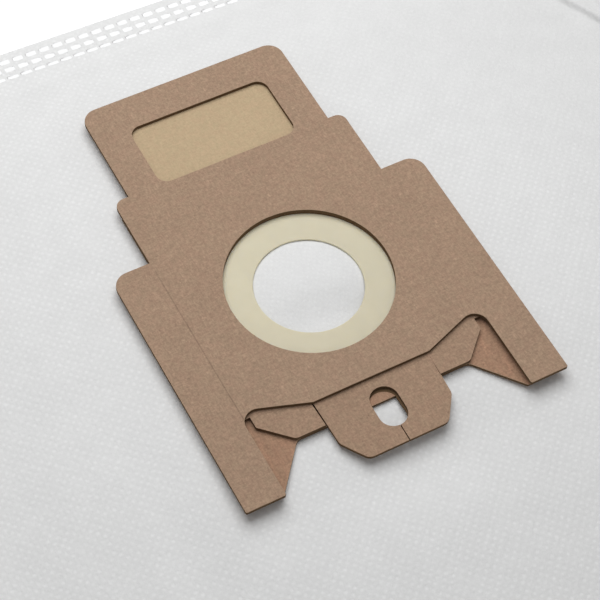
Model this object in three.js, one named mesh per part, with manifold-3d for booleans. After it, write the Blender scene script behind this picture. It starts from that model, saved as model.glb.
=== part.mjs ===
// A vacuum cleaner's dust bag: two fleece sheets welded all round, and a laminated card collar
// glued on the front sheet. Millimetres, +Z up. The bag lies on its back sheet, with the origin
// under its middle, and +Y points to the end that the collar's grip points to.
import * as THREE from 'three';
import { mergeGeometries, mergeVertices } from 'three/addons/utils/BufferGeometryUtils.js';
import Module from 'manifold-3d';

const wasm = await Module();
wasm.setup();

// Bag
const bagWidth = 320;
const bagLength = 278;
const fleece = 0.8;          // thickness of one sheet
const weldBand = 12.5;       // width of the welded border
const seamMargin = 4;        // from the end of the bag to its first row of weld dashes
const seamRows = 3;
const seamRowPitch = 3.35;
const dashPitch = 4.6;
const dashLength = 3;
const dashWidth = 1.3;
const dashDepth = 0.35;
const cutProud = 0.02;       // how far a cutter stands above the surface that it cuts
const weldFilm = 0.1;        // what the weld leaves between the two sheets
const insideHeight = 6;      // clear height inside, under the collar
const inletToEnd = 128;      // from the inlet's axis to the end that the grip points to
const crownInset = 4.5;      // the crown's flat top stops this far inside the collar's outline
const gridPitch = 12;        // spacing of the front sheet's surface grid
const sheetHoleRadius = 24;  // hole in the front sheet, under the seal

// Collar: sizes in its own frame, with the inlet's axis at the origin
const gripTop = 87;
const gripHalf = 34.6;
const gripCorner = 5;
const neckTop = 51.5;
const neckHalf = 39.65;
const neckCorner = 3;
const shoulderTop = 26.5;
const shoulderHalf = 52.5;
const shoulderCorner = 5;
const footBottom = -60.4;
const legWidth = 12.5;
const cutCorner = 0.5;       // what the die leaves on a square corner
const foldY = -37.57;        // where the lock tab comes out from under the board
const recessTop = -30.3;     // height at which the recess's slanted edge would meet the leg
const recessCorner = 4.3;
const recessClearance = 0.2; // from the tab's side to the end of the slanted edge
const mouthRadius = 25.7;
const windowWidth = 47.3;
const windowHeight = 23.65;
const windowBottom = 51.26;
const windowCorner = 3.75;
const boardThickness = 1.3;
const glueLine = 0.1;
const layerSpace = 1.55;     // between the upper board and the base board

// Window backing and seal
const backingThickness = 0.95;
const backingLap = 5;
const sealThickness = 0.7;
const sealLap = 0.7;         // the seal's rim runs this far under the upper board
const sealHoleRadius = 16.7;
const sealDish = 0.85;       // how far the seal's lip lies below its rim
const sealShelf = 3.4;       // flat part of the seal that shows inside the mouth

// Lock plate
const lockThickness = 1.15;
const lockHalf = 39.5;
const lockClearance = 0.4;   // from the lock plate to the seal and to the window backing
const tabHalf = 19;
const tabTaper = 0.55;       // how much narrower the tab is where its chamfers start
const tabShoulder = -52;
const tabBottom = -59.75;
const tabBottomHalf = 13;
const tabCorner = 3;
const tabDroop = 2.2;        // degrees
const tabRoot = 0.5;
const slotHalf = 4.43;
const slotTop = -41;
const slotBottom = -54.3;
const slotFlat = 0.1;        // half the straight part of each of its ends
const splitWidth = 0.3;
const leftCut = 0.5;         // width of the cut between the tab and its left wing
const rightLap = 0.1;        // the cut beside the right wing is closed, with this much overlap
const wingHalf = 37.2;
const wingBend = -37;
const wingBottom = -45.2;
const wingInner = 28.7;
const wingCorner = 2.5;

// Base board
const baseThickness = 1.1;
const baseInset = 1.2;
const baseEdge = -45;
const baseNotchHalf = 28.2;
const baseNotchCorner = 3;
const baseHoleRadius = 22.6; // the seal's rim is glued on the board round this hole

// Facets of the round forms
const mouthSegments = 72;
const hiddenSegments = 48;
const slotSegments = 16;
const cornerSegments = 8;
const lipSegments = 6;

// Levels
const frontUnder = fleece + weldFilm;
const crownUnder = fleece + insideHeight;
const crownTop = crownUnder + fleece;
const inletY = bagLength / 2 - inletToEnd;
const baseZ = crownTop + glueLine;
const boardZ = baseZ + baseThickness + layerSpace;
const lockZ = boardZ - glueLine - lockThickness;
const backingZ = boardZ - glueLine - backingThickness;
const sealTopZ = baseZ + baseThickness + glueLine + sealThickness;
const legInner = shoulderHalf - legWidth;

const kraft = new THREE.MeshStandardMaterial({ color: 0xa28a72, roughness: 0.9, metalness: 0 });
const lockKraft = new THREE.MeshStandardMaterial({ color: 0x9f846d, roughness: 0.9, metalness: 0 });
const baseKraft = new THREE.MeshStandardMaterial({ color: 0x9e7e68, roughness: 0.9, metalness: 0 });
const paleKraft = new THREE.MeshStandardMaterial({ color: 0xbea788, roughness: 0.9, metalness: 0 });
const cream = new THREE.MeshStandardMaterial({ color: 0xd1c9b0, roughness: 0.6, metalness: 0 });
const whiteFleece = new THREE.MeshStandardMaterial({ color: 0xe6e6e6, roughness: 0.95, metalness: 0 });

// The points of a closed outline through corners [x, y, radius], each rounded with a true arc.
function outline(corners, segments) {
  return corners.flatMap(([x, y, radius], i) => {
    const corner = new THREE.Vector2(x, y);
    if (radius === 0) return [corner];
    const [fromX, fromY] = corners.at(i - 1);
    const [toX, toY] = corners[(i + 1) % corners.length];
    const back = new THREE.Vector2(fromX, fromY).sub(corner).normalize();
    const ahead = new THREE.Vector2(toX, toY).sub(corner).normalize();
    const halfAngle = Math.acos(THREE.MathUtils.clamp(back.dot(ahead), -1, 1)) / 2;
    const middle = back.clone().add(ahead).normalize();
    const centre = corner.clone().addScaledVector(middle, radius / Math.sin(halfAngle));
    const angleTo = (way) => {
      const tangent = corner.clone().addScaledVector(way, radius / Math.tan(halfAngle));
      return tangent.sub(centre).angle();
    };
    const clockwise = back.cross(ahead) > 0;
    const arc = new THREE.EllipseCurve(
      centre.x, centre.y, radius, radius, angleTo(back), angleTo(ahead), clockwise,
    );
    return arc.getPoints(segments);
  });
}

// The right half's corners, from top to bottom, with their mirror images.
function mirrored(half) {
  const left = half.map(([x, y, radius]) => [-x, y, radius]).reverse();
  return [...half, ...left];
}

function rectangle(halfWidth, bottom, top, radius = 0) {
  return mirrored([[halfWidth, top, radius], [halfWidth, bottom, radius]]);
}

function circle(radius, segments) {
  const points = new THREE.EllipseCurve(0, 0, radius, radius).getPoints(segments);
  return new THREE.Path(points.slice(1));
}

// A flat piece from z = 0 up. Its outline runs clockwise, and its holes the other way.
function plate(corners, thickness, holes = [], segments = cornerSegments) {
  const shape = new THREE.Shape(outline(corners, segments));
  shape.holes.push(...holes);
  return new THREE.ExtrudeGeometry(shape, { depth: thickness, bevelEnabled: false });
}

function solid(geometry) {
  const bare = geometry.clone();
  bare.deleteAttribute('normal');
  bare.deleteAttribute('uv');
  const merged = mergeVertices(bare);
  return new wasm.Manifold(new wasm.Mesh({
    numProp: 3,
    vertProperties: merged.attributes.position.array,
    triVerts: new Uint32Array(merged.index.array),
  }));
}

function geometryOf(manifold) {
  const mesh = manifold.getMesh();
  const geometry = new THREE.BufferGeometry();
  geometry.setAttribute('position', new THREE.BufferAttribute(mesh.vertProperties, 3));
  geometry.setIndex(new THREE.BufferAttribute(mesh.triVerts, 1));
  geometry.computeVertexNormals();
  return geometry;
}

function named(name, geometry, material, y = 0, z = 0) {
  const mesh = new THREE.Mesh(geometry, material);
  mesh.name = name;
  mesh.position.set(0, y, z);
  return mesh;
}

// The outer corners that the upper board and the base board share, down to the feet.
function collarSide(inset) {
  return [
    [gripHalf - inset, gripTop - inset, gripCorner - inset],
    [gripHalf - inset, neckTop - inset, 0],
    [neckHalf - inset, neckTop - inset, neckCorner - inset],
    [neckHalf - inset, shoulderTop - inset, 0],
    [shoulderHalf - inset, shoulderTop - inset, shoulderCorner - inset],
    [shoulderHalf - inset, footBottom + inset, cutCorner],
  ];
}

function collarBoard() {
  const half = [
    ...collarSide(0),
    [legInner, footBottom, cutCorner],
    [legInner, recessTop, recessCorner],
    [tabHalf + recessClearance, foldY, 0],
  ];
  const windowTop = windowBottom + windowHeight;
  const opening = rectangle(windowWidth / 2, windowBottom, windowTop, windowCorner);
  const window = new THREE.Path(outline(opening, cornerSegments).reverse());
  return plate(mirrored(half), boardThickness, [circle(mouthRadius, mouthSegments), window]);
}

function baseBoard() {
  const half = [
    ...collarSide(baseInset),
    [legInner, footBottom + baseInset, cutCorner],
    [baseNotchHalf, baseEdge, baseNotchCorner],
  ];
  return plate(mirrored(half), baseThickness, [circle(baseHoleRadius, mouthSegments)]);
}

function windowBacking() {
  const bottom = windowBottom - backingLap;
  const top = windowBottom + windowHeight + backingLap;
  return plate(rectangle(windowWidth / 2 + backingLap, bottom, top), backingThickness);
}

// The seal is a rubber ring on the base board: a flat rim and a dished, round-edged lip.
function sealRing() {
  const rimRadius = mouthRadius + sealLap;
  const lip = sealThickness / 2;
  const profile = new THREE.Shape();
  profile.moveTo(rimRadius, 0);
  profile.lineTo(mouthRadius - sealShelf, 0);
  profile.lineTo(sealHoleRadius + lip, -sealDish);
  profile.absarc(sealHoleRadius + lip, -sealDish - lip, lip, Math.PI / 2, 3 * Math.PI / 2, false);
  profile.lineTo(mouthRadius - sealShelf, -sealThickness);
  profile.lineTo(rimRadius, -sealThickness);
  const points = profile.getPoints(lipSegments);
  points.push(points[0].clone());
  const ring = new THREE.LatheGeometry(points, mouthSegments);
  return ring.rotateX(Math.PI / 2);
}

// How far half the tab's width has narrowed at a height below the fold.
function tabSide(y) {
  return tabHalf - tabTaper * (foldY - y) / (foldY - tabShoulder);
}

function wing(side, cut) {
  const corners = [
    [side * (tabHalf + cut), foldY + recessCorner, 0],
    [side * (tabHalf + cut), foldY, 0],
    [side * (tabSide(wingBottom) + cut), wingBottom, 0],
    [side * wingInner, wingBottom, wingCorner],
    [side * wingHalf, wingBend, cutCorner],
    [side * wingHalf, foldY + recessCorner, 0],
  ];
  return plate(corners, lockThickness);
}

// The tab hangs from the fold, with an oblong slot that is split down to the tab's end.
function lockTab() {
  const half = [
    [tabHalf, foldY + tabRoot, 0],
    [tabHalf, foldY, 0],
    [tabHalf - tabTaper, tabShoulder, tabCorner],
    [tabBottomHalf, tabBottom, tabCorner],
  ];
  const tab = solid(plate(mirrored(half), lockThickness));
  const through = 3 * lockThickness;
  const slotCorners = rectangle(slotHalf, slotBottom, slotTop, slotHalf - slotFlat);
  const slot = solid(plate(slotCorners, through, [], slotSegments).translate(0, 0, -lockThickness));
  const split = new THREE.BoxGeometry(splitWidth, slotBottom - tabBottom + slotHalf, through);
  split.translate(0, (slotBottom + tabBottom) / 2, lockThickness / 2);
  const flat = geometryOf(tab.subtract(slot).subtract(solid(split)));
  flat.translate(0, -foldY, -lockThickness);
  flat.rotateX(THREE.MathUtils.degToRad(tabDroop));
  return flat.translate(0, foldY, lockThickness);
}

function lockPlate() {
  const sealClear = mouthRadius + sealLap + lockClearance;
  const top = windowBottom - backingLap - lockClearance;
  const bodyBottom = foldY + recessCorner;
  const holes = [circle(sealClear, hiddenSegments)];
  const body = solid(plate(rectangle(lockHalf, bodyBottom, top), lockThickness, holes));
  const root = solid(plate(rectangle(tabHalf, foldY, bodyBottom + tabRoot), lockThickness));
  const left = solid(wing(-1, leftCut));
  const right = solid(wing(1, -rightLap));
  const pieces = [root, left, right, solid(lockTab())];
  return geometryOf(pieces.reduce((sum, piece) => sum.add(piece), body));
}

const clamp01 = (t) => THREE.MathUtils.clamp(t, 0, 1);
const smooth = (t) => clamp01(t) ** 2 * (3 - 2 * clamp01(t));

// The front sheet's height above the welded border, from 0 there to 1 on the crown.
function crown(x, y) {
  const innerX = bagWidth / 2 - weldBand;
  const innerY = bagLength / 2 - weldBand;
  const flatX = shoulderHalf - crownInset;
  const flatTop = inletY + gripTop - crownInset;
  const flatBottom = inletY + foldY;
  const acrossX = smooth((innerX - Math.abs(x)) / (innerX - flatX));
  const towardsTop = smooth((innerY - y) / (innerY - flatTop));
  const towardsBottom = smooth((innerY + y) / (innerY + flatBottom));
  return acrossX * towardsTop * towardsBottom;
}

// Place of the grid line nearest to a coordinate of an evenly divided sheet: the first and the
// last cell are the welded border, and the rest share what lies between.
function gridLine(value, length, cells) {
  const i = Math.round((value / length + 0.5) * cells);
  if (i === 0) return -length / 2;
  if (i === cells) return length / 2;
  return -length / 2 + weldBand + (i - 1) / (cells - 2) * (length - 2 * weldBand);
}

// The dents of the weld dashes, in rows along both ends of the bag. Each dent is a pyramid that
// points down from the sheet's surface, and every second row is staggered.
function weldDashes() {
  const grow = 1 + cutProud / dashDepth;
  const dent = new THREE.ConeGeometry(Math.SQRT1_2, 1, 4, 1, false, Math.PI / 4);
  dent.rotateX(-Math.PI / 2).translate(0, 0, -0.5);
  dent.scale(dashLength * grow, dashWidth * grow, dashDepth * grow);
  const count = Math.floor(bagWidth / dashPitch) - 1;
  const dents = [];
  for (let row = 0; row < seamRows; row += 1) {
    const y = bagLength / 2 - seamMargin - row * seamRowPitch;
    const stagger = (row % 2) * dashPitch / 4;
    for (let i = 0; i < count; i += 1) {
      const x = (i - (count - 1) / 2) * dashPitch + stagger;
      for (const side of [1, -1]) dents.push(dent.clone().translate(x, side * y, fleece + cutProud));
    }
  }
  return mergeGeometries(dents);
}

function frontPanel() {
  const cellsX = Math.round(bagWidth / gridPitch);
  const cellsY = Math.round(bagLength / gridPitch);
  const sheet = new THREE.BoxGeometry(bagWidth, bagLength, fleece, cellsX, cellsY, 1);
  const place = sheet.attributes.position;
  for (let i = 0; i < place.count; i += 1) {
    const x = gridLine(place.getX(i), bagWidth, cellsX);
    const y = gridLine(place.getY(i), bagLength, cellsY);
    const rise = (crownUnder - frontUnder) * crown(x, y);
    place.setXYZ(i, x, y, place.getZ(i) + fleece / 2 + rise);
  }
  const cutter = [sheetHoleRadius, sheetHoleRadius, 2 * crownTop, hiddenSegments];
  const hole = new THREE.CylinderGeometry(...cutter);
  hole.rotateX(Math.PI / 2).translate(0, inletY, 0);
  return geometryOf(solid(sheet).subtract(solid(hole)).subtract(solid(weldDashes())));
}

function backPanel() {
  return plate(rectangle(bagWidth / 2, -bagLength / 2, bagLength / 2), fleece);
}

const bag = new THREE.Group();
bag.add(
  named('back_panel', backPanel(), whiteFleece),
  named('front_panel', frontPanel(), whiteFleece, 0, frontUnder),
);

const collar = new THREE.Group();
collar.position.set(0, inletY, 0);
collar.add(
  named('base_board', baseBoard(), baseKraft, 0, baseZ),
  named('lock_plate', lockPlate(), lockKraft, 0, lockZ),
  named('window_backing', windowBacking(), paleKraft, 0, backingZ),
  named('seal_ring', sealRing(), cream, 0, sealTopZ),
  named('collar_board', collarBoard(), kraft, 0, boardZ),
);

const dustBag = new THREE.Group();
dustBag.name = 'vacuum_dust_bag';
dustBag.add(bag, collar);

export default dustBag;
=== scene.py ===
"""The looks of a fleece dust bag with a layered card collar. Everything is in metres."""
import math

import bpy
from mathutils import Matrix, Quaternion, Vector, noise


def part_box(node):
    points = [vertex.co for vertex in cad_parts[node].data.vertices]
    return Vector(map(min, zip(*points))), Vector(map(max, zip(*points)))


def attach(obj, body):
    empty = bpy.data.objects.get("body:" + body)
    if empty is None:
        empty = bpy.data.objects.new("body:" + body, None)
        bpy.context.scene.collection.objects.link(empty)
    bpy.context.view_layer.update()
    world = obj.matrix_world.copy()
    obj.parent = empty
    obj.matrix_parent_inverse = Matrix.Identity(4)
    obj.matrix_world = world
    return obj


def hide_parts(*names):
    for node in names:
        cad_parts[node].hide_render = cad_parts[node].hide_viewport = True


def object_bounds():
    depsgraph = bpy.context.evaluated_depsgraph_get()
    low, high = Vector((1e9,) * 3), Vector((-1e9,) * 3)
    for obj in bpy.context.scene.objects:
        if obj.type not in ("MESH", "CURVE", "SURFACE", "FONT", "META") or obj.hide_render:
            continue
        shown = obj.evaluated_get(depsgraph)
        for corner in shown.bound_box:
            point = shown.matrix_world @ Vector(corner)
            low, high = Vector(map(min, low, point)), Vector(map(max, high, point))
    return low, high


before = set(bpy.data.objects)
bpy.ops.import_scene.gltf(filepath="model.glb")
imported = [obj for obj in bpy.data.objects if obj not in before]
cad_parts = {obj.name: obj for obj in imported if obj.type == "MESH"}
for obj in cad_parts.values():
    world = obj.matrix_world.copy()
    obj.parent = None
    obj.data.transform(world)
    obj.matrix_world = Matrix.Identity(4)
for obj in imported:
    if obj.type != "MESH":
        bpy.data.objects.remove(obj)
cad_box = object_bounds()

MM = 0.001

# What the frame says
front_low, front_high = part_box("front_panel")
back_low, back_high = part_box("back_panel")
board_low, board_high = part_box("collar_board")
lock_low, lock_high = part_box("lock_plate")
seal_low, seal_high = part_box("seal_ring")
base_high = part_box("base_board")[1]
HALF_X = front_high.x
HALF_Y = front_high.y
SHEET = back_high.z - back_low.z
RIM_TOP = front_low.z + SHEET
CROWN_TOP = front_high.z
INLET_Y = (seal_low.y + seal_high.y) / 2
SHEET_HOLE = 24.0 * MM          # radius of the hole in the front sheet

# Crown of the front sheet, as in the CAD solid
WELD_BAND = 12.5 * MM           # width of the flat border
CROWN_INSET = 4.5 * MM          # how far inside the collar's outline the crown is flat
FOLD_BELOW_INLET = 37.57 * MM   # from the inlet's middle to the lock tab's fold

# Weld: rows of dashes along the border
SEAM_MARGIN = 4.0 * MM          # from the border to the first row's middle
SEAM_ROW_PITCH = 3.35 * MM
SEAM_PHASE = -0.95 * MM         # shift of all the rows along the seam
DASH_PITCH = 4.6 * MM
DASH_DEPTH = 0.08 * MM
DASH_SLOPE = 0.3 * MM           # width of a dash's sloping side
DASH_GAP = 0.4 * MM             # least gap between two dashes
DASH_ROOM = 0.3 * MM            # what a shifted dash leaves free of its cell
DASH_CREASE = 0.55              # keeps the dashes' corners from being rounded off
# One row each, from the border inwards: shift along the seam, length, width
DASH_ROWS = (
    (0.0, 3.5 * MM, 1.75 * MM),
    (1.15 * MM, 3.5 * MM, 1.75 * MM),
    (0.55 * MM, 3.85 * MM, 1.15 * MM),
)
SEAM_SKEW = -0.0276             # how far the end weld is out of square with the collar
SEAM_SKEW_START = 60.0 * MM     # the y from which the sheets lean that way

# Colours in linear light
FLEECE = (0.785, 0.787, 0.785)
FLEECE_DOT = (0.86, 0.863, 0.863)
FLEECE_WELD = (0.95, 0.955, 0.96)
KRAFT = (0.372, 0.254, 0.176)
LOCK_KRAFT = (0.365, 0.245, 0.168)
BASE_KRAFT = (0.365, 0.226, 0.15)
BASE_STREAK = (0.42, 0.25, 0.165)
PALE_KRAFT = (0.515, 0.39, 0.247)
CUT_EDGE = (0.13, 0.08, 0.043)
# paler rounded edges of the card: worn board, and a painted highlight along every edge
EDGE_WEAR_AND_HIGHLIGHT = (0.42, 0.30, 0.205)
SEAL = (0.69, 0.635, 0.475)

# Camera, where the photograph was taken from
CAMERA_TARGET = Vector((-6.0 * MM, 5.8 * MM, 11.65 * MM))
CAMERA_DISTANCE = 568.2 * MM
CAMERA_AZIMUTH = math.radians(-32.02)
CAMERA_ELEVATION = math.radians(56.04)
CAMERA_ROLL = math.radians(4.41)
CAMERA_LENS = 115.94            # millimetres, as the sensor's width
CAMERA_SENSOR = 36.0
CAMERA_NEAR = 10 * MM


def smooth(t):
    """Eases from 0 to 1 as t goes from 0 to 1."""
    t = min(max(t, 0.0), 1.0)
    return t * t * (3.0 - 2.0 * t)


# Form of the two sheets


def inside_weld(x, y):
    """How far a point lies inside the flat border."""
    return min(HALF_X - WELD_BAND - abs(x), HALF_Y - WELD_BAND - abs(y))


def crown(x, y):
    """Height of the front sheet above the weld, from 0 to 1 under the collar."""
    inner_x, inner_y = HALF_X - WELD_BAND, HALF_Y - WELD_BAND
    flat_x = board_high.x - CROWN_INSET
    flat_top = board_high.y - CROWN_INSET
    flat_bottom = FOLD_BELOW_INLET - INLET_Y
    across = smooth((inner_x - abs(x)) / (inner_x - flat_x))
    to_top = smooth((inner_y - y) / (inner_y - flat_top))
    to_bottom = smooth((inner_y + y) / (inner_y - flat_bottom))
    return across * to_top * to_bottom


# Soft folds: centre x and y, half length and half width, turn in degrees, height, all in mm
FOLDS = (
    (-68, -48, 62, 11, 91, -1.3),
    (-95, 40, 70, 26, 70, 0.5),
    (90, 20, 80, 24, 100, 0.5),
    (10, -88, 80, 22, 8, 0.5),
    (60, -95, 46, 18, 150, -0.5),
    (137, 74, 26, 1.7, 103, 0.8),
    (131, 70, 24, 5, 103, -0.3),
    (-128, -60, 40, 4, 80, 0.6),
    (-20, -118, 50, 5, 176, 0.5),
)
# The collar's footprint, which holds the sheet flat: half width, lowest y, highest y in mm
FOOTPRINT = ((34, 60, 98), (39, 30, 62), (52, -49, 37))
HOLD_REACH = 22 * MM            # how far from the collar the sheet is free
HOLD_WELD = 6 * MM              # and how far from the weld
DRIFT_SIZE = 55 * MM
DRIFT_HEIGHT = 0.55 * MM
DRIFT_SEED = 3.7


def fold_height(folds, x, y):
    """Sum of the folds' heights at a point, each a long soft hill or valley."""
    total = 0.0
    for cx, cy, long, wide, turn, height in folds:
        a = math.radians(turn)
        dx, dy = x - cx * MM, y - cy * MM
        along = (dx * math.cos(a) + dy * math.sin(a)) / (long * MM)
        across = (dy * math.cos(a) - dx * math.sin(a)) / (wide * MM)
        total += height * MM * math.exp(-along * along - across * across)
    return total


def freedom(x, y):
    """0 where the collar or the weld holds the front sheet, and 1 where it is free."""
    gap = 1.0
    for half, low, high in FOOTPRINT:
        out_x = max(abs(x) - half * MM, 0.0)
        out_y = max(low * MM - y, y - high * MM, 0.0)
        gap = min(gap, math.hypot(out_x, out_y))
    return smooth(gap / HOLD_REACH) * smooth(inside_weld(x, y) / HOLD_WELD)


def drift(x, y):
    """The fleece's slight unevenness, from about -1 to 1."""
    return noise.noise(Vector((x / DRIFT_SIZE, y / DRIFT_SIZE, DRIFT_SEED)))


# Where the sheet sinks away from the collar's free lower end, in the same terms as the folds
HOLLOWS = (
    (0, -56, 66, 12, 0, -0.5),
    (4, -54, 24, 12, 0, -2.4),
)


def front_outer(x, y):
    level = RIM_TOP + (CROWN_TOP - RIM_TOP) * crown(x, y)
    loose = fold_height(FOLDS, x, y) + DRIFT_HEIGHT * drift(x, y)
    return level + freedom(x, y) * loose + fold_height(HOLLOWS, x, y)


def front_inner(x, y):
    return front_outer(x, y) - SHEET


# The back sheet swells up into the bag under the inlet, with a soft valley across the hole
SWELL = (0, 11, 60, 60, 0, 5.2)
VALLEY = (3, -1, 18, 7, -13, -2.8)
SWELL_FADE = 40 * MM
# In the inlet it comes up to just below the seal, and bulges a little through its hole
PLUG_TOP = 17.5 * MM
PLUG_FOOT = 25 * MM
PLUG_HEIGHT = 2.56 * MM
DOME_EDGE = 16.2 * MM
DOME_TOP = 11 * MM
DOME_HEIGHT = 0.8 * MM


def back_inner(x, y):
    from_inlet = math.hypot(x, y - INLET_Y)
    rise = PLUG_HEIGHT * smooth((PLUG_FOOT - from_inlet) / (PLUG_FOOT - PLUG_TOP))
    rise += DOME_HEIGHT * smooth((DOME_EDGE - from_inlet) / (DOME_EDGE - DOME_TOP))
    rise += fold_height((SWELL, VALLEY), x, y)
    return back_high.z + smooth(inside_weld(x, y) / SWELL_FADE) * rise


def back_outer(x, y):
    return back_inner(x, y) - SHEET


def skewed(x, y):
    """Moves a point of the sheets so that the end weld is as askew as the photograph shows."""
    share = smooth((y - SEAM_SKEW_START) / (HALF_Y - SEAM_SKEW_START))
    return y + SEAM_SKEW * x * share


def grid_lines(half):
    """Places of the grid lines across a sheet: the seam rows at its borders, even cells between."""
    rows = [0.0]
    rows += [SEAM_MARGIN + (i - 0.5) * SEAM_ROW_PITCH for i in range(len(DASH_ROWS) + 1)]
    inner = 2 * (half - rows[-1])
    cells = round(inner / DASH_PITCH)
    between = [rows[-1] + inner * i / cells for i in range(1, cells)]
    return [r - half for r in rows] + [b - half for b in between] + [half - r for r in reversed(rows)]


def seam_row(i, cells):
    """Which row of dashes a grid cell belongs to, counted from the border, or None."""
    row = min(i, cells - 1 - i) - 1
    return row if 0 <= row < len(DASH_ROWS) else None


def dash_box(x0, x1, y0, y1, row, along_x):
    """Corners of a dash inside its grid cell."""
    shift, length, width = DASH_ROWS[row]
    cx, cy = (x0 + x1) / 2, (y0 + y1) / 2
    if along_x:
        cx += shift + SEAM_PHASE
        half_x, half_y = min(length, x1 - x0 - DASH_GAP) / 2, width / 2
    else:
        cy += shift + SEAM_PHASE
        half_x, half_y = width / 2, min(length, y1 - y0 - DASH_GAP) / 2
    room_x, room_y = (x1 - x0 - DASH_ROOM) / 2 - half_x, (y1 - y0 - DASH_ROOM) / 2 - half_y
    cx = min(max(cx, (x0 + x1) / 2 - room_x), (x0 + x1) / 2 + room_x)
    cy = min(max(cy, (y0 + y1) / 2 - room_y), (y0 + y1) / 2 + room_y)
    return cx - half_x, cx + half_x, cy - half_y, cy + half_y


def sheet_piece(name, outer, inner, up, hole=0.0):
    """A closed sheet on a grid, with pressed weld dashes on its outer face."""
    xs, ys = grid_lines(HALF_X), grid_lines(HALF_Y)
    nx, ny = len(xs) - 1, len(ys) - 1
    centre = Vector((0.0, INLET_Y))

    def place(x, y):
        """A grid point, pulled onto the hole's rim if it is near it."""
        away = Vector((x, y)) - centre
        if hole and abs(away.length - hole) < DASH_PITCH / 2:
            away *= hole / away.length
        return centre + away

    points, faces, kinds = [], [], []
    pressed = set()

    def add(x, y, z):
        points.append((x, skewed(x, y), z))
        return len(points) - 1

    grid = [[place(x, y) for y in ys] for x in xs]
    face_out = [[add(p.x, p.y, outer(p.x, p.y)) for p in column] for column in grid]
    face_in = [[add(p.x, p.y, inner(p.x, p.y)) for p in column] for column in grid]

    def open_cell(i, j):
        if not (0 <= i < nx and 0 <= j < ny):
            return True
        middle = Vector(((xs[i] + xs[i + 1]) / 2, (ys[j] + ys[j + 1]) / 2))
        return hole > 0 and (middle - centre).length < hole

    def face(corners, kind=0):
        faces.append(corners if up else corners[::-1])
        kinds.append(kind)

    for i in range(nx):
        for j in range(ny):
            if open_cell(i, j):
                continue
            corners = [(i, j), (i + 1, j), (i + 1, j + 1), (i, j + 1)]
            rim = [face_out[a][b] for a, b in corners]
            face([face_in[a][b] for a, b in reversed(corners)])
            for k, (di, dj) in enumerate(((0, -1), (1, 0), (0, 1), (-1, 0))):
                if open_cell(i + di, j + dj):
                    a, b = corners[k], corners[(k + 1) % 4]
                    face([face_in[a[0]][a[1]], face_in[b[0]][b[1]],
                          face_out[b[0]][b[1]], face_out[a[0]][a[1]]])
            row_y, row_x = seam_row(j, ny), seam_row(i, nx)
            on_border = i in (0, nx - 1) or j in (0, ny - 1)
            row = row_y if row_y is not None else row_x
            if row is None or on_border:
                face(rim)
                continue
            x0, x1, y0, y1 = dash_box(xs[i], xs[i + 1], ys[j], ys[j + 1], row, row_y is not None)
            ring, floor = [], []
            sunk = DASH_DEPTH if up else -DASH_DEPTH
            for x, y, sx, sy in ((x0, y0, 1, 1), (x1, y0, -1, 1), (x1, y1, -1, -1), (x0, y1, 1, -1)):
                ring.append(add(x, y, outer(x, y)))
                dx, dy = x + sx * DASH_SLOPE, y + sy * DASH_SLOPE
                floor.append(add(dx, dy, outer(x, y) - sunk))
            pressed.update(ring + floor)
            for k in range(4):
                n = (k + 1) % 4
                face([rim[k], rim[n], ring[n], ring[k]])
                face([ring[k], ring[n], floor[n], floor[k]], 1)
            face(floor, 1)

    used = sorted({p for f in faces for p in f})
    index = {p: i for i, p in enumerate(used)}
    mesh = bpy.data.meshes.new(name)
    mesh.from_pydata([points[p] for p in used], [], [[index[p] for p in f] for f in faces])
    mesh.polygons.foreach_set("material_index", kinds)
    mesh.polygons.foreach_set("use_smooth", [True] * len(faces))
    mesh.update()
    sharp = {index[p] for p in pressed}
    crease = mesh.attributes.new("crease_edge", "FLOAT", "EDGE")
    crease.data.foreach_set("value", [
        DASH_CREASE if sharp.issuperset(edge.vertices) else 0.0 for edge in mesh.edges
    ])
    piece = bpy.data.objects.new(name, mesh)
    bpy.context.scene.collection.objects.link(piece)
    surface = piece.modifiers.new("surface", "SUBSURF")
    surface.levels = surface.render_levels = 1
    return piece


# Materials

# Bonding dots of the two sheets: pitch, turn of the lattice in degrees, and how strongly they show
FRONT_DOTS = (2.05 * MM, 45.0, 0.7)
BACK_DOTS = (1.56 * MM, 34.0, 0.3)
DOTS_FADE = (90 * MM, 175 * MM)         # they fade towards one corner, by x + y
# The fleece is a little whiter where it is pressed flat along the border, by the way past it
PRESSED_START = (-19 * MM, -14 * MM)
PRESSED_SHARE = 1.035
# A sharp crease near the same corner: its normal, distance from the origin, half width, height
CREASE_NORMAL = (0.903, 0.430, 0.0)
CREASE_OFFSET = 155.5 * MM
CREASE_WIDTH = 2.0 * MM
CREASE_RISE = -20.0
CREASE_START = (121 * MM, 133 * MM)     # by x
CREASE_END = (143 * MM, 148 * MM)
NOISE_SPAN = (0.3, 0.7)                 # what a noise's values mostly lie between
# The fleece's own pattern: sizes of its noises, and the tones or heights that they give
WAVER_SIZE = 5 * MM                     # the lattice of the dots wavers
WAVER_REACH = 0.8 * MM
DOT_RADII = (0.08, 0.42)                # where a dot is full and where it ends, in pitches
DOT_STRENGTH_SIZE = 3 * MM              # the dots are stronger and fainter in patches
DOT_STRENGTH = (0.5, 1.1)
DOT_FAINTEST = 0.3                      # what is left of them in that corner
DOT_RELIEF = 0.8
CLOUD_SIZE = 9 * MM
CLOUD_TONES = (0.985, 1.012)
FIBRE_SIZE = 0.9 * MM
FIBRE_TONES = (0.98, 1.02)
FUZZ_SIZE = 0.35 * MM
FUZZ_HEIGHT = 0.5
WAVE_SIZE = 1.7 * MM
WAVE_HEIGHT = 2.2
WAVE_TURN = -32.0
WAVE_STRETCH = (1.0, 0.6, 1.0)
FLEECE_DEPTH = 0.1 * MM
PRESSED_DEPTH = 0.02 * MM
FLEECE_SHEEN = (0.95, 0.2)              # roughness and gloss
PRESSED_SHEEN = (0.55, 0.5)


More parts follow.
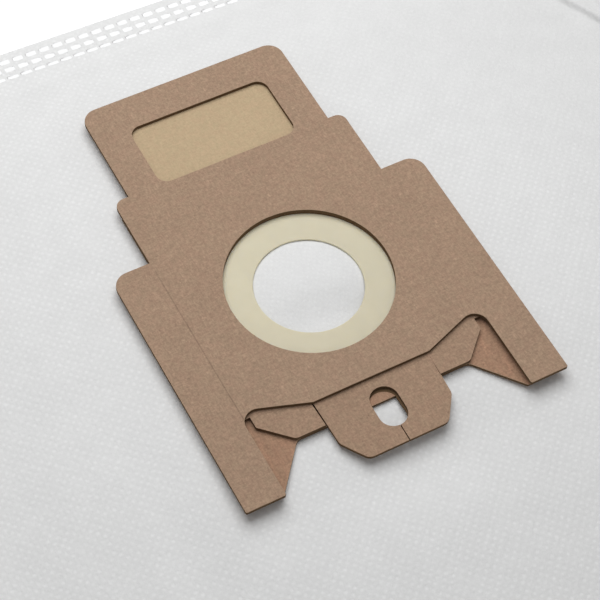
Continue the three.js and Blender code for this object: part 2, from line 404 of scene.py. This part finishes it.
class Paint:
    """A procedural material: short calls that add and link its nodes."""

    def __init__(self, name):
        self.material = bpy.data.materials.new(name)
        self.material.use_nodes = True
        self.tree = self.material.node_tree
        self.shader = self.tree.nodes["Principled BSDF"]
        self.place = self.add("ShaderNodeTexCoord").outputs["Object"]

    def add(self, kind, **settings):
        node = self.tree.nodes.new(kind)
        for key, value in settings.items():
            setattr(node, key, value)
        return node

    def put(self, socket, value):
        """Links a socket to the value, or sets it to the value."""
        if isinstance(value, bpy.types.NodeSocket):
            self.tree.links.new(value, socket)
        elif isinstance(value, tuple) and socket.type == "RGBA":
            socket.default_value = (*value, 1.0)
        else:
            socket.default_value = value

    def math(self, operation, a, b=0.0):
        node = self.add("ShaderNodeMath", operation=operation)
        self.put(node.inputs[0], a)
        self.put(node.inputs[1], b)
        return node.outputs[0]

    def vector(self, operation, a, b=(0.0, 0.0, 0.0)):
        node = self.add("ShaderNodeVectorMath", operation=operation)
        self.put(node.inputs[0], a)
        self.put(node.inputs[1], b)
        return node.outputs["Value" if operation in ("LENGTH", "DOT_PRODUCT") else "Vector"]

    def mapped(self, scale, turn=0.0, vector=None):
        """The place on the piece, or a vector, turned in degrees about z and scaled."""
        node = self.add("ShaderNodeMapping")
        self.put(node.inputs["Vector"], vector or self.place)
        node.inputs["Rotation"].default_value = (0.0, 0.0, math.radians(turn))
        node.inputs["Scale"].default_value = scale
        return node.outputs[0]

    def split_place(self):
        node = self.add("ShaderNodeSeparateXYZ")
        self.put(node.inputs[0], self.place)
        return node.outputs

    def noise(self, size, detail=2.0, rough=0.5, stretch=(1.0, 1.0, 1.0), turn=0.0):
        """Noise with spots of about that size, longer along an axis whose stretch is under 1."""
        scale = tuple(s / size for s in stretch)
        node = self.add("ShaderNodeTexNoise")
        node.inputs["Scale"].default_value = 1.0
        node.inputs["Detail"].default_value = detail
        node.inputs["Roughness"].default_value = rough
        self.put(node.inputs["Vector"], self.mapped(scale, turn))
        return node.outputs["Fac"]

    def noise_colour(self, size):
        """Three noises in one, as a colour."""
        node = self.add("ShaderNodeTexNoise")
        node.inputs["Scale"].default_value = 1.0
        node.inputs["Detail"].default_value = 1.0
        self.put(node.inputs["Vector"], self.mapped((1 / size,) * 3))
        return node.outputs["Color"]

    def ramp(self, value, low, high, to_low=0.0, to_high=1.0):
        """Eases from to_low to to_high as the value goes from low to high."""
        node = self.add("ShaderNodeMapRange", interpolation_type="SMOOTHSTEP")
        ends = {"From Min": low, "From Max": high, "To Min": to_low, "To Max": to_high}
        for key, number in ends.items():
            node.inputs[key].default_value = number
        self.put(node.inputs["Value"], value)
        return node.outputs[0]

    def mix(self, share, a, b):
        node = self.add("ShaderNodeMix", data_type="RGBA")
        self.put(node.inputs["Factor"], share)
        self.put(node.inputs["A"], a)
        self.put(node.inputs["B"], b)
        return node.outputs[2]

    def shade(self, colour, amount):
        """The colour times a number."""
        node = self.add("ShaderNodeVectorMath", operation="SCALE")
        self.put(node.inputs[0], colour)
        self.put(node.inputs["Scale"], amount)
        return node.outputs[0]

    def finish(self, colour, height, depth, roughness, gloss):
        """Sets the shader: its colour, its relief and how deep that is, and its sheen."""
        self.put(self.shader.inputs["Base Color"], colour)
        self.shader.inputs["Roughness"].default_value = roughness
        self.shader.inputs["Specular IOR Level"].default_value = gloss
        bump = self.add("ShaderNodeBump")
        bump.inputs["Distance"].default_value = depth
        bump.inputs["Strength"].default_value = 1.0
        self.put(bump.inputs["Height"], height)
        self.put(self.shader.inputs["Normal"], bump.outputs[0])
        return self.material


def fleece_material(name, pitch, turn, share, weld=False):
    """Spun fleece, thermally bonded at small dots in a slanting lattice."""
    p = Paint(name)
    x, y, _ = p.split_place()

    waver = p.vector("SUBTRACT", p.noise_colour(WAVER_SIZE), (0.5, 0.5, 0.5))
    place = p.vector("ADD", p.place, p.shade(waver, WAVER_REACH))
    turned = p.mapped((1 / pitch, 1 / pitch, 0.0), turn, place)
    cell = p.vector("SUBTRACT", p.vector("FRACTION", turned), (0.5, 0.5, 0.0))
    dot = p.ramp(p.vector("LENGTH", cell), *DOT_RADII, 1.0, 0.0)
    least, most = DOT_STRENGTH
    strength = p.ramp(p.noise(DOT_STRENGTH_SIZE, 2.0), 0.35, 0.65, least * share, most * share)
    to_corner = p.vector("DOT_PRODUCT", p.place, (1.0, 1.0, 0.0))
    faint = p.ramp(to_corner, *DOTS_FADE, 1.0, DOT_FAINTEST)
    dot = p.math("MULTIPLY", p.math("MULTIPLY", dot, strength), faint)

    cloud = p.ramp(p.noise(CLOUD_SIZE, 3.0), *NOISE_SPAN, *CLOUD_TONES)
    fibre = p.ramp(p.noise(FIBRE_SIZE, 3.0, 0.7), *NOISE_SPAN, *FIBRE_TONES)
    past_x = p.math("SUBTRACT", p.math("ABSOLUTE", x), HALF_X)
    past_y = p.math("SUBTRACT", p.math("ABSOLUTE", y), HALF_Y)
    pressed = p.ramp(p.math("MAXIMUM", past_x, past_y), *PRESSED_START, 1.0, PRESSED_SHARE)
    tone = p.math("MULTIPLY", p.math("MULTIPLY", cloud, fibre), pressed)
    colour = p.shade(FLEECE_WELD if weld else p.mix(dot, FLEECE, FLEECE_DOT), tone)

    fuzz = p.math("MULTIPLY", p.noise(FUZZ_SIZE, 4.0, 0.7), FUZZ_HEIGHT)
    wave = p.noise(WAVE_SIZE, 2.0, 0.6, stretch=WAVE_STRETCH, turn=WAVE_TURN)
    height = p.math("ADD", fuzz, p.math("MULTIPLY", wave, WAVE_HEIGHT))
    if not weld:
        height = p.math("SUBTRACT", height, p.math("MULTIPLY", dot, DOT_RELIEF))
    across = p.math("SUBTRACT", p.vector("DOT_PRODUCT", p.place, CREASE_NORMAL), CREASE_OFFSET)
    crease = p.ramp(across, -CREASE_WIDTH, CREASE_WIDTH, 0.0, CREASE_RISE)
    crease = p.math("MULTIPLY", crease, p.ramp(x, *CREASE_START))
    height = p.math("ADD", height, p.math("MULTIPLY", crease, p.ramp(x, *CREASE_END, 1.0, 0.0)))

    depth = PRESSED_DEPTH if weld else FLEECE_DEPTH
    return p.finish(colour, height, depth, *(PRESSED_SHEEN if weld else FLEECE_SHEEN))


# Board: the two tints that it wavers between, and the sizes and contrasts of its pattern
PINK_TINT = (1.012, 0.993, 0.998)
GREEN_TINT = (0.99, 1.006, 1.0)
TINT_SIZE = 2.5 * MM
MOTTLE_SIZE = 14 * MM
MOTTLE_CONTRAST = 0.022
GRAIN_SIZE = 0.75 * MM
GRAIN_CONTRAST = 0.115
STRAND_SIZE = 0.45 * MM         # short fibres, in two directions
STRAND_CONTRAST = 0.1
STRAND_TURNS = (20.0, -15.0)
SPECK_SIZE = 1.3 * MM
SPECK_DARKER = 0.2
FLAKE_SIZE = 1.1 * MM
FLAKE_LIGHTER = 0.13
FLAKE_TURN = 50.0
BUMP_SIZE = 0.7 * MM            # relief: small bumps on a larger roll
ROLL_SIZE = 3 * MM
ROLL_HEIGHT = 0.8
KRAFT_DEPTH = 0.05 * MM
KRAFT_SHEEN = (0.9, 0.15)       # roughness and gloss
PALE_CONTRAST = 0.45            # the pale card's pattern is weaker
# The base board's inner face: streaks
STREAK_SIZE = 2.2 * MM
STREAK_STRETCH = (1.0, 0.22, 1.0)
STREAK_TURN = -35.0
BASE_DEPTH = 0.06 * MM
BASE_SHEEN = (0.92, 0.12)
# Cut edges: plies along them, and grit
PLY_SIZE = 0.3 * MM
PLY_STRETCH = (0.05, 0.05, 1.0)
GRIT_SIZE = 0.4 * MM
EDGE_TONES = (0.8, 1.2)
EDGE_DEPTH = 0.08 * MM
EDGE_SHEEN = (0.95, 0.1)


def kraft_height(p):
    roll = p.math("MULTIPLY", p.noise(ROLL_SIZE, 2.0), ROLL_HEIGHT)
    return p.math("ADD", p.noise(BUMP_SIZE, 4.0, 0.65), roll)


def kraft_colour(p, colour, contrast=1.0):
    """Brown board: soft clouds, short fibres in two directions, and a few dark and pale specks."""

    def spread(noise, half, share):
        return p.ramp(noise, 0.5 - half, 0.5 + half, 1 - share * contrast, 1 + share * contrast)

    mottle = spread(p.noise(MOTTLE_SIZE, 3.0, 0.5), 0.2, MOTTLE_CONTRAST)
    grain = spread(p.noise(GRAIN_SIZE, 3.0, 0.75), 0.2, GRAIN_CONTRAST)
    long = p.noise(STRAND_SIZE, 2.0, 0.6, stretch=(1.0, 0.25, 1.0), turn=STRAND_TURNS[0])
    cross = p.noise(STRAND_SIZE, 2.0, 0.6, stretch=(0.3, 1.0, 1.0), turn=STRAND_TURNS[1])
    strand = spread(p.math("MULTIPLY", p.math("ADD", long, cross), 0.5), 0.125, STRAND_CONTRAST)
    tone = p.math("MULTIPLY", p.math("MULTIPLY", mottle, grain), strand)
    speck = p.noise(SPECK_SIZE, 2.0, 0.5)
    dark = p.ramp(speck, 0.68, 0.76, 1.0, 1 - SPECK_DARKER * contrast)
    flake = p.noise(FLAKE_SIZE, 1.0, 0.5, stretch=(1.0, 0.5, 1.0), turn=FLAKE_TURN)
    pale = p.ramp(flake, 0.66, 0.76, 1.0, 1 + FLAKE_LIGHTER * contrast)
    tint = p.mix(p.ramp(p.noise(TINT_SIZE, 3.0, 0.6), 0.35, 0.65), PINK_TINT, GREEN_TINT)
    colour = p.vector("MULTIPLY", colour, tint)
    return p.shade(p.shade(colour, tone), p.math("MULTIPLY", dark, pale))


def kraft_material(name, colour, contrast=1.0):
    p = Paint(name)
    return p.finish(kraft_colour(p, colour, contrast), kraft_height(p), KRAFT_DEPTH, *KRAFT_SHEEN)


# The lock plate's left side shows through the upper board as a faint step down to the recess
STEP_TOP = 37 * MM
STEP_FADE = 8 * MM
STEP_WIDTH = 0.35 * MM
STEP_HEIGHT = 1.5
DENT_HEIGHT = 0.9
# how much the dented line is darkened: painted shade in the groove
DENT_PAINTED_SHADE = 0.26


def collar_material(name):
    """Kraft board with the faint step and the dented line along it, which painted shade darkens."""
    p = Paint(name)
    x, y, _ = p.split_place()
    off = p.math("SUBTRACT", p.math("MULTIPLY", x, -1.0), lock_high.x)
    along = p.ramp(y, STEP_TOP, STEP_TOP - STEP_FADE)
    step = p.ramp(off, -STEP_WIDTH, STEP_WIDTH, 1.0, 0.0)
    line = p.ramp(p.math("ABSOLUTE", off), 0.0, STEP_WIDTH, 1.0, 0.0)
    dent = p.math("MULTIPLY", p.math("MULTIPLY", line, along), DENT_HEIGHT)
    rise = p.math("MULTIPLY", p.math("MULTIPLY", step, along), STEP_HEIGHT)
    height = p.math("SUBTRACT", p.math("ADD", kraft_height(p), rise), dent)
    # painted shade along the dented line
    shade = p.math("SUBTRACT", 1.0, p.math("MULTIPLY", dent, DENT_PAINTED_SHADE))
    colour = p.shade(kraft_colour(p, KRAFT), shade)
    return p.finish(colour, height, KRAFT_DEPTH, *KRAFT_SHEEN)


def base_material(name):
    """The base board's inner face is redder than the other boards, and streaked as where a paper layer
    was split.
    """
    p = Paint(name)
    streak = p.noise(STREAK_SIZE, 3.0, 0.6, stretch=STREAK_STRETCH, turn=STREAK_TURN)
    colour = p.mix(p.ramp(streak, 0.4, 0.7), BASE_KRAFT, BASE_STREAK)
    return p.finish(kraft_colour(p, colour), kraft_height(p), BASE_DEPTH, *BASE_SHEEN)


def edge_material(name, colour):
    """Cut edge of board: dark, with the plies as fine lines along it."""
    p = Paint(name)
    plies = p.noise(PLY_SIZE, 2.0, 0.6, stretch=PLY_STRETCH)
    grit = p.noise(GRIT_SIZE, 3.0, 0.7)
    tone = p.ramp(p.math("ADD", plies, grit), 0.7, 1.3, *EDGE_TONES)
    return p.finish(p.shade(colour, tone), grit, EDGE_DEPTH, *EDGE_SHEEN)


# Painted shade: the seal is darker towards one side, standing for light that falls off there: the way
# there, the ends of the change, and its share
SEAL_SHADE_WAY = (0.45, -0.89, 0.0)
SEAL_SHADE_REACH = (-30 * MM, 16 * MM)
SEAL_SHADE_SHARE = 0.9
SEAL_CLOUD_SIZE = 6 * MM
SEAL_TONES = (0.985, 1.015)
SEAL_FINE_SIZE = 0.5 * MM
SEAL_DEPTH = 0.01 * MM
SEAL_SHEEN = (0.55, 0.3)
# Light that goes through it: its share, how far each colour gets, and the unit of that
LIGHT_SHARE = 0.5
LIGHT_REACH = (1.0, 0.9, 0.65)
LIGHT_UNIT = 1.2 * MM


def seal_material(name):
    """Soft rubber that lets a little light through, with painted shade darkening one side."""
    p = Paint(name)
    cloud = p.ramp(p.noise(SEAL_CLOUD_SIZE, 2.0), *NOISE_SPAN, *SEAL_TONES)
    # painted shade: the colour darkens towards one side of the seal
    painted_shade = p.ramp(p.vector("DOT_PRODUCT", p.place, SEAL_SHADE_WAY), *SEAL_SHADE_REACH, 1.0, SEAL_SHADE_SHARE)
    colour = p.shade(SEAL, p.math("MULTIPLY", cloud, painted_shade))
    p.shader.inputs["Subsurface Weight"].default_value = LIGHT_SHARE
    p.shader.inputs["Subsurface Radius"].default_value = LIGHT_REACH
    p.shader.inputs["Subsurface Scale"].default_value = LIGHT_UNIT
    return p.finish(colour, p.noise(SEAL_FINE_SIZE, 2.0), SEAL_DEPTH, *SEAL_SHEEN)


# Pieces

MERGE_WITHIN = 0.001 * MM       # points this close are one
FLAT_WITHIN = math.radians(0.5)
SHARP_FROM = math.radians(35)   # edges from this angle on are rounded
CARD_BEVEL = 0.1 * MM
SEAL_BEVEL = 0.33 * MM
FACE, EDGE, WEAR_AND_HIGHLIGHT = range(3)     # a card piece's materials, by number


def dress(node, materials):
    """Gives a CAD piece its materials, shared points and smooth shading."""
    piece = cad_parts[node]
    mesh = piece.data
    if "custom_normal" in mesh.attributes:
        mesh.attributes.remove(mesh.attributes["custom_normal"])
    mesh.materials.clear()
    for material in materials:
        mesh.materials.append(material)
    for polygon in mesh.polygons:
        polygon.use_smooth = True
    weld = piece.modifiers.new("weld", "WELD")
    weld.merge_threshold = MERGE_WITHIN
    return piece


def round_edges(piece, width, segments):
    bevel = piece.modifiers.new("bevel", "BEVEL")
    bevel.width = width
    bevel.segments = segments
    bevel.limit_method = "ANGLE"
    bevel.angle_limit = SHARP_FROM
    bevel.harden_normals = True
    return bevel


def dress_card(node, face_material, edge, wear_and_highlight):
    """Gives a CAD card piece its face and cut-edge materials and a fine paler edge: worn board and a
    painted highlight.
    """
    piece = dress(node, (face_material, edge, wear_and_highlight))
    for polygon in piece.data.polygons:
        polygon.material_index = FACE if abs(polygon.normal.z) > 0.5 else EDGE
    plane = piece.modifiers.new("plane", "DECIMATE")
    plane.decimate_type = "DISSOLVE"
    plane.angle_limit = FLAT_WITHIN
    plane.delimit = {"MATERIAL"}
    round_edges(piece, CARD_BEVEL, 2).material = WEAR_AND_HIGHLIGHT


def dress_seal():
    round_edges(dress("seal_ring", (seal_material("seal_rubber_look"),)), SEAL_BEVEL, 3)


def make_bag():
    weld = fleece_material("fleece_weld_look", *FRONT_DOTS, weld=True)
    front = sheet_piece("front_sheet", front_outer, front_inner, True, SHEET_HOLE)
    back = sheet_piece("back_sheet", back_outer, back_inner, False)
    for piece, node, dots in ((front, "front_panel", FRONT_DOTS), (back, "back_panel", BACK_DOTS)):
        piece.data.materials.append(fleece_material(piece.name + "_look", *dots))
        piece.data.materials.append(weld)
        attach(piece, "root")
        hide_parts(node)


# Thin dark rings between the boards, coloured like the cut edges: painted shade put in gaps where
# there is only shadow
RING_CLEARANCE = 0.03 * MM
RING_STEPS = 144
MOUTH_RADIUS = 25.72 * MM
MOUTH_RING = 0.5 * MM           # width of the ring in the mouth
SLOT_HALF = 4.43 * MM           # half width of the tab's slot
SLOT_LOW = -38.87 * MM          # the middles of its round ends
SLOT_HIGH = -34.43 * MM
SLOT_RING = 0.8 * MM            # how far that ring reaches outwards
SLOT_STEP = 1.0 * MM            # and inwards, at most
SLOT_STEP_TURN = math.radians(58)


def ring_piece(name, section, material):
    """A closed ring: section(angle) gives its four corners there, inner low, outer low and so on."""
    points, faces = [], []
    for i in range(RING_STEPS):
        points += section(2 * math.pi * i / RING_STEPS)
        here, there = 4 * i, 4 * ((i + 1) % RING_STEPS)
        faces += [(here + k, there + k, there + (k + 1) % 4, here + (k + 1) % 4) for k in range(4)]
    mesh = bpy.data.meshes.new(name)
    mesh.from_pydata(points, [], faces)
    mesh.materials.append(material)
    ring = bpy.data.objects.new(name, mesh)
    bpy.context.scene.collection.objects.link(ring)
    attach(ring, "root")


def ring_corners(a, middle, inner, outer, low, high):
    """Corners of a ring's section at an angle about a middle on the y axis."""
    corners = ((inner, low), (outer, low), (outer, high), (inner, high))
    return [(r * math.cos(a), middle + r * math.sin(a), z) for r, z in corners]


def mouth_section(a):
    """A dark ring in the mouth, between the upper board and the seal: painted shade over the shadowed
    gap there.
    """
    low, high = seal_high.z + RING_CLEARANCE, board_low.z - RING_CLEARANCE
    return ring_corners(a, INLET_Y, MOUTH_RADIUS, MOUTH_RADIUS + MOUTH_RING, low, high)


def slot_section(a):
    """A thin dark shelf under the tab, which stands a little into the slot at its upper end: painted
    shadow on the board below.
    """
    low, high = base_high.z + RING_CLEARANCE, lock_low.z - RING_CLEARANCE
    step = SLOT_STEP * max(0.0, math.cos(a - SLOT_STEP_TURN))
    middle = SLOT_HIGH if math.sin(a) > 0 else SLOT_LOW
    return ring_corners(a, middle, SLOT_HALF - RING_CLEARANCE - step, SLOT_HALF + SLOT_RING, low, high)


def make_collar():
    cut = edge_material("cut_edge_look", CUT_EDGE)
    # the rounded edges are paler: wear and a painted highlight
    wear_and_highlight = edge_material("edge_wear_and_highlight_look", EDGE_WEAR_AND_HIGHLIGHT)
    for node, face in (
        ("collar_board", collar_material("collar_card_look")),
        ("lock_plate", kraft_material("lock_card_look", LOCK_KRAFT)),
        ("base_board", base_material("base_card_look")),
        ("window_backing", kraft_material("pale_card_look", PALE_KRAFT, PALE_CONTRAST)),
    ):
        dress_card(node, face, cut, wear_and_highlight)
    dress_seal()
    # painted shade: a dark ring in the shadowed gap round the mouth
    ring_piece("mouth_shade_ring", mouth_section, cut)
    # painted shadow: a dark shelf inside the slot's upper end
    ring_piece("slot_shade_ring", slot_section, cut)


# Stage

FLOOR_SIZE = 6.0
FLOOR_GAP = 0.05 * MM
FLOOR_COLOUR = (0.86, 0.86, 0.86)
FLOOR_GLOW = 0.25               # what the camera sees of the floor is a little lighter
FILL_STRENGTH = 0.28            # the world's light, which the camera sees as plain white
WHITE = (1.0, 1.0, 1.0, 1.0)
KEY_PLACE = Vector((0.024, 0.174, 0.481))
KEY_SIZE = 0.48
KEY_POWER = 2.25                # watts


def camera_share(tree):
    """1 for what the camera sees directly, in gloss or through glass."""
    path = tree.nodes.new("ShaderNodeLightPath")
    share = path.outputs["Is Camera Ray"]
    for name in ("Is Glossy Ray", "Is Transmission Ray"):
        either = tree.nodes.new("ShaderNodeMath")
        either.operation = "MAXIMUM"
        tree.links.new(share, either.inputs[0])
        tree.links.new(path.outputs[name], either.inputs[1])
        share = either.outputs[0]
    return share


def make_floor():
    mesh = bpy.data.meshes.new("floor")
    h = FLOOR_SIZE / 2
    z = cad_box[0].z - FLOOR_GAP
    mesh.from_pydata([(-h, -h, z), (h, -h, z), (h, h, z), (-h, h, z)], [], [(0, 1, 2, 3)])
    floor = bpy.data.objects.new("floor", mesh)
    bpy.context.scene.collection.objects.link(floor)
    material = bpy.data.materials.new("floor_look")
    material.use_nodes = True
    tree = material.node_tree
    shader = tree.nodes["Principled BSDF"]
    shader.inputs["Base Color"].default_value = (*FLOOR_COLOUR, 1.0)
    shader.inputs["Roughness"].default_value = 1.0
    shader.inputs["Specular IOR Level"].default_value = 0.0
    shader.inputs["Emission Color"].default_value = WHITE
    glow = tree.nodes.new("ShaderNodeMath")
    glow.operation = "MULTIPLY"
    glow.inputs[1].default_value = FLOOR_GLOW
    tree.links.new(camera_share(tree), glow.inputs[0])
    tree.links.new(glow.outputs[0], shader.inputs["Emission Strength"])
    mesh.materials.append(material)


def make_world():
    world = bpy.data.worlds.new("world")
    bpy.context.scene.world = world
    world.use_nodes = True
    tree = world.node_tree
    background = tree.nodes["Background"]
    background.inputs["Color"].default_value = WHITE
    strength = tree.nodes.new("ShaderNodeMapRange")
    strength.inputs["To Min"].default_value = FILL_STRENGTH
    strength.inputs["To Max"].default_value = 1.0
    tree.links.new(camera_share(tree), strength.inputs["Value"])
    tree.links.new(strength.outputs[0], background.inputs["Strength"])


def make_light(name, place, size, power):
    data = bpy.data.lights.new(name, "AREA")
    data.size = size
    data.energy = power
    light = bpy.data.objects.new(name, data)
    light.location = place
    light.rotation_mode = "QUATERNION"
    light.rotation_quaternion = (CAMERA_TARGET - light.location).to_track_quat("-Z", "Y")
    bpy.context.scene.collection.objects.link(light)


def make_camera():
    data = bpy.data.cameras.new("camera")
    data.lens = CAMERA_LENS
    data.sensor_width = CAMERA_SENSOR
    data.clip_start = CAMERA_NEAR
    camera = bpy.data.objects.new("camera", data)
    bpy.context.scene.collection.objects.link(camera)
    bpy.context.scene.camera = camera
    a, e = CAMERA_AZIMUTH, CAMERA_ELEVATION
    back = Vector((math.sin(a) * math.cos(e), -math.cos(a) * math.cos(e), math.sin(e)))
    camera.location = CAMERA_TARGET + CAMERA_DISTANCE * back
    camera.rotation_mode = "QUATERNION"
    camera.rotation_quaternion = Quaternion(back, CAMERA_ROLL) @ (-back).to_track_quat("-Z", "Y")


make_bag()
make_collar()
make_floor()
make_world()
make_light("key", KEY_PLACE, KEY_SIZE, KEY_POWER)
make_camera()
bpy.context.scene.view_settings.view_transform = "Standard"
